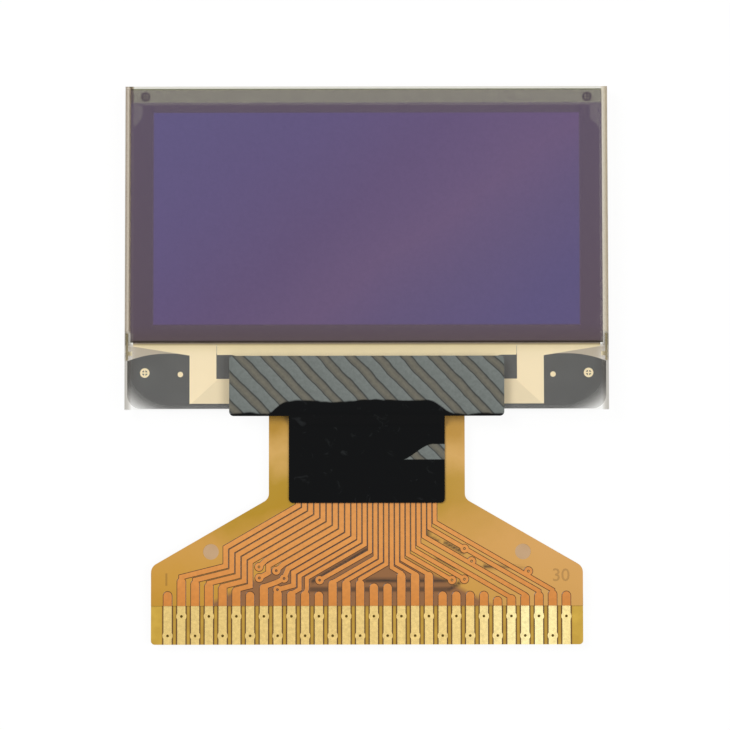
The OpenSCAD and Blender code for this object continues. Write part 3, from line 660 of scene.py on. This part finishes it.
# The numbers are darkened by a third of the same painted shade
seam_shade = numbers.data.attributes.new("seam_shade", "FLOAT", "POINT")
for value in seam_shade.data:
    value.value = 0.3

for piece in (film, ridges, numbers):
    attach(piece, "root")
    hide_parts("front_coverlay")

wear(nodes["back_coverlay"], cover)


# ---- Shielding tape ----
# Glossy black polyester tape, pressed by hand over the edge of the glass and down onto
# the flexible circuit. Its head carries a painted reflection of slanting bands.

tape_low, tape_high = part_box("shield_tape")
tape_cut = 0.00022  # from cut to cut, so that the sheet can ripple
sharp = 0.7         # a turn past this angle stays a sharp edge
shape = merged_copy("shield_tape")
for axis in (0, 1):
    steps = round((tape_high[axis] - tape_low[axis]) / tape_cut)
    for step in range(1, steps):
        cut(shape, axis,
            tape_low[axis] + step * (tape_high[axis] - tape_low[axis]) / steps)

# It ripples all over, and lifts a little at the lower corners of its head
for vert in shape.verts:
    x, y = vert.co.x * 1000, vert.co.y * 1000
    ripple = noise.noise(Vector((x * 0.55, y * 0.9, 3.1)))
    fold = noise.noise(Vector((x * 1.6 + y * 1.2, y * 0.7 - x * 0.4, 8.7)))
    loose = max(0, min(1, (-9.2 - y) / 0.5)) * max(0, min(1, (abs(x) - 3.9) / 0.8))
    vert.co.z += (0.012 * max(0, ripple) + (0.010 + 0.05 * loose) * max(0, fold)) / 1000
for face in shape.faces:
    face.smooth = True
for edge in shape.edges:
    if len(edge.link_faces) == 2 and edge.calc_face_angle() > sharp:
        edge.smooth = False
tape = settle(shape, "shield_tape_sheet")

# Polyester film over black ink: mirror black on the leg, with faint smudges, and a painted
# reflection of grey and brown slanting bands on the head
reflection_band_pitch = 1.42  # from band to band across the head, in millimetres
black_tape, mm, axes = start("glossy_polyester_tape")
warp = add(black_tape, "ShaderNodeTexNoise", {"Vector": mm, "Scale": 0.7, "Detail": 3.0})
lean = add(black_tape, "ShaderNodeMath", {0: axes.outputs[1], 1: 0.95, 2: axes.outputs[0]},
           operation="MULTIPLY_ADD")
bent = add(black_tape, "ShaderNodeMath", {0: warp, 1: 0.32, 2: lean},
           operation="MULTIPLY_ADD")
turn = add(black_tape, "ShaderNodeMath", {0: bent, 1: reflection_band_pitch},
           operation="DIVIDE")
phase = add(black_tape, "ShaderNodeMath", {0: turn}, operation="FRACT")
band_reflection = hues(black_tape, phase, 0, 1, [
    (0.00, "2E302F"), (0.05, "626764"), (0.54, "666B68"), (0.585, "2A2C2C"),
    (0.62, "54534C"), (0.78, "625F54"), (0.93, "5A5850"), (1.00, "2E302F")])
spots = add(black_tape, "ShaderNodeTexNoise", {"Vector": mm, "Scale": 5.0, "Detail": 6.0,
                                               "Roughness": 0.75})
mottle = add(black_tape, "ShaderNodeMapRange", {"Value": spots, "From Min": 0.3,
                                                "From Max": 0.7, "To Min": 0.85,
                                                "To Max": 1.12})
reflected_bands = add(black_tape, "ShaderNodeVectorMath", {0: band_reflection, "Scale": mottle},
              operation="SCALE")
# The painted reflection ends in a wavy line that arches over the leg
hang = add(black_tape, "ShaderNodeTexNoise", {"Vector": mm, "Scale": 0.9, "Detail": 2.0})
edge_line = add(black_tape, "ShaderNodeMath", {0: hang, 1: 0.35, 2: axes.outputs[1]},
                operation="MULTIPLY_ADD")
rise = add(black_tape, "ShaderNodeMapRange", {
    "Value": axes.outputs[0], "From Min": -5.1, "From Max": -4.1, "To Max": 0.66},
    interpolation_type="SMOOTHSTEP")
drop = add(black_tape, "ShaderNodeMapRange", {
    "Value": axes.outputs[0], "From Min": 4.5, "From Max": 3.2, "To Max": 0.66},
    interpolation_type="SMOOTHSTEP")
arch = add(black_tape, "ShaderNodeMath", {0: rise, 1: drop}, operation="MINIMUM")
tucked = add(black_tape, "ShaderNodeMath", {0: edge_line, 1: arch}, operation="SUBTRACT")
head_reflection = add(black_tape, "ShaderNodeMapRange", {"Value": tucked, "From Min": -9.84,
                                              "From Max": -9.76})
# A pale patch of the same painted reflection at the right edge of the leg, flat below and
# rounded above
slope = add(black_tape, "ShaderNodeMapRange", {
    "Value": axes.outputs[0], "From Min": 1.6, "From Max": 3.4, "To Min": -12.36,
    "To Max": -11.50}, interpolation_type="SMOOTHSTEP")
under = add(black_tape, "ShaderNodeMath", {0: slope, 1: axes.outputs[1]},
            operation="SUBTRACT")
over = add(black_tape, "ShaderNodeMath", {0: axes.outputs[1], 1: -12.32},
           operation="SUBTRACT")
within = add(black_tape, "ShaderNodeMath", {0: under, 1: over}, operation="MINIMUM")
reflection_patch = add(black_tape, "ShaderNodeMapRange", {"Value": within, "From Max": 0.04})
painted_reflection_mask = add(black_tape, "ShaderNodeMath", {0: head_reflection, 1: reflection_patch}, operation="MAXIMUM")
# Painted reflection where the mask is set, mirror black elsewhere
tone = add(black_tape, "ShaderNodeMix", {"Factor": painted_reflection_mask, "A": linear("060708"),
                                         "B": reflected_bands}, data_type="RGBA")
smear = add(black_tape, "ShaderNodeTexNoise", {"Vector": mm, "Scale": 1.7, "Detail": 5.0,
                                               "Roughness": 0.6, "Distortion": 0.8})
worn = add(black_tape, "ShaderNodeMapRange", {"Value": smear, "From Min": 0.62,
                                              "From Max": 0.80, "To Max": 0.07})
smudged = add(black_tape, "ShaderNodeMix", {"Factor": worn, "A": tone.outputs["Result"],
                                            "B": linear("7C8284")}, data_type="RGBA")
dull = add(black_tape, "ShaderNodeMapRange", {"Value": painted_reflection_mask, "To Min": 0.16,
                                              "To Max": 0.42})
finish(black_tape, add(black_tape, "ShaderNodeBsdfPrincipled", {
    "Base Color": smudged.outputs["Result"], "Roughness": dull, "Specular IOR Level": 0.12}))
tape.data.materials.append(black_tape)
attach(tape, "root")
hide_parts("shield_tape")


# ---- Floor, light and camera ----
# The module lies on a plain white floor under a soft sky and two soft lamps, and the
# camera stands almost straight above it.

shape = bmesh.new()
bmesh.ops.create_grid(shape, x_segments=1, y_segments=1, size=0.4)
bmesh.ops.translate(shape, verts=shape.verts, vec=(0, 0, -0.00001))
floor = settle(shape, "floor")
floor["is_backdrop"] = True

# Matt paper: plain white to the eye, with the module's soft shadow
paper, mm, axes = start("matt_white_paper")
shaded = add(paper, "ShaderNodeBsdfPrincipled", {"Base Color": linear("F0F0EE"),
                                                 "Roughness": 0.8})
ray = add(paper, "ShaderNodeLightPath")
direct = add(paper, "ShaderNodeMath", {0: ray.outputs["Is Camera Ray"],
                                       1: ray.outputs["Is Glossy Ray"]}, operation="MAXIMUM")
seen = add(paper, "ShaderNodeMath", {0: direct, 1: ray.outputs["Is Transmission Ray"]},
           operation="MAXIMUM")
share = add(paper, "ShaderNodeMath", {0: seen, 1: 0.92}, operation="MULTIPLY")

# Where the circuit or the glass shuts out the sky, the paper is painted with the light
# and shade that show there: amber light in the tooling holes, darker shade in the
# contacts' plated holes, and grey shade under the ledge
tooling_x, tooling_y = 7.95, -17.0
near = add(paper, "ShaderNodeAmbientOcclusion", {"Distance": 0.001}, samples=8)
through_holes = hues(paper, near.outputs["AO"], 0, 1, [
    (0.00, "4E3C10"), (0.12, "4E3C10"), (0.26, "C4A074"), (0.42, "FFFFFF")])
beside = add(paper, "ShaderNodeMath", {0: axes.outputs[0]}, operation="ABSOLUTE")
hole_x = add(paper, "ShaderNodeMath", {0: beside, 1: tooling_x}, operation="SUBTRACT")
hole_y = add(paper, "ShaderNodeMath", {0: axes.outputs[1], 1: tooling_y},
             operation="SUBTRACT")
from_hole = add(paper, "ShaderNodeCombineXYZ", {0: hole_x, 1: hole_y})
away = add(paper, "ShaderNodeVectorMath", {0: from_hole}, operation="LENGTH")
in_hole = add(paper, "ShaderNodeMath", {0: away.outputs["Value"], 1: 0.6},
              operation="LESS_THAN")
warm_glow = add(paper, "ShaderNodeMix", {"Factor": in_hole, "A": through_holes,
                                         "B": linear("C6A27A")}, data_type="RGBA")
foot_x = add(paper, "ShaderNodeMath", {0: beside, 1: last_contact + 0.05},
             operation="LESS_THAN")
foot_y = add(paper, "ShaderNodeMath", {0: axes.outputs[1], 1: -20.75, 2: 0.85},
             operation="COMPARE")
under_foot = add(paper, "ShaderNodeMath", {0: foot_x, 1: foot_y}, operation="MULTIPLY")
hole_glow = add(paper, "ShaderNodeMix", {"Factor": under_foot,
                                         "A": warm_glow.outputs["Result"],
                                         "B": linear("5A4614")}, data_type="RGBA")
bounce = hues(paper, axes.outputs[1], -9, 0, [
    (-8.6, "F0EEEA"), (-7.6, "B7AA96"), (-6.5, "B7AA96"), (-6.3, "FFFFFF")])
shut = add(paper, "ShaderNodeMapRange", {"Value": near.outputs["AO"], "From Min": 0.48,
                                         "From Max": 0.30})
through_glass = add(paper, "ShaderNodeMix", {"Factor": shut, "A": linear("FFFFFF"),
                                             "B": bounce}, data_type="RGBA")
low = add(paper, "ShaderNodeMath", {0: axes.outputs[1], 1: -11.0}, operation="LESS_THAN")
cast = add(paper, "ShaderNodeMix", {"Factor": low, "A": through_glass.outputs["Result"],
                                    "B": hole_glow.outputs["Result"]}, data_type="RGBA")
plain = add(paper, "ShaderNodeEmission", {"Color": cast.outputs["Result"],
                                          "Strength": 1.0})
finish(paper, add(paper, "ShaderNodeMixShader", {0: share, 1: shaded, 2: plain}))
floor.data.materials.append(paper)

# An even white sky, at full white only where the camera sees it
sky = bpy.data.worlds.new("soft_sky")
sky.use_nodes = True
sky.node_tree.nodes.clear()
ray = add(sky, "ShaderNodeLightPath")
light = add(sky, "ShaderNodeBackground", {"Color": linear("FFFFFF"), "Strength": 0.56})
white = add(sky, "ShaderNodeBackground", {"Color": linear("FFFFFF"), "Strength": 1.0})
mixed = add(sky, "ShaderNodeMixShader", {0: ray.outputs["Is Camera Ray"], 1: light, 2: white})
add(sky, "ShaderNodeOutputWorld", {"Surface": mixed})
bpy.context.scene.world = sky

for name, spot, width, power in (("left_softbox", (-0.16, 0.10, 0.22), 0.16, 0.53),
                                 ("right_softbox", (0.18, -0.04, 0.24), 0.18, 0.37)):
    lamp = bpy.data.lights.new(name, "AREA")
    lamp.shape = "DISK"
    lamp.size = width
    lamp.energy = power
    holder = bpy.data.objects.new(name, lamp)
    holder.location = spot
    holder.rotation_euler = (-Vector(spot)).to_track_quat("-Z", "Y").to_euler()
    bpy.context.collection.objects.link(holder)

distance = 0.180
tilt = math.radians(4.2376)
target = Vector((-0.0001034, -0.0075036, 0.0011))
camera = bpy.data.cameras.new("camera")
camera.lens = 174.05
camera.sensor_width = 36
camera.clip_start = 0.01
eye = bpy.data.objects.new("camera", camera)
eye.location = target + distance * Vector((0, -math.sin(tilt), math.cos(tilt)))
eye.rotation_euler = (tilt, 0, math.radians(-0.0758))
bpy.context.collection.objects.link(eye)
bpy.context.scene.camera = eye
bpy.context.scene.view_settings.view_transform = "Standard"

low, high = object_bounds()
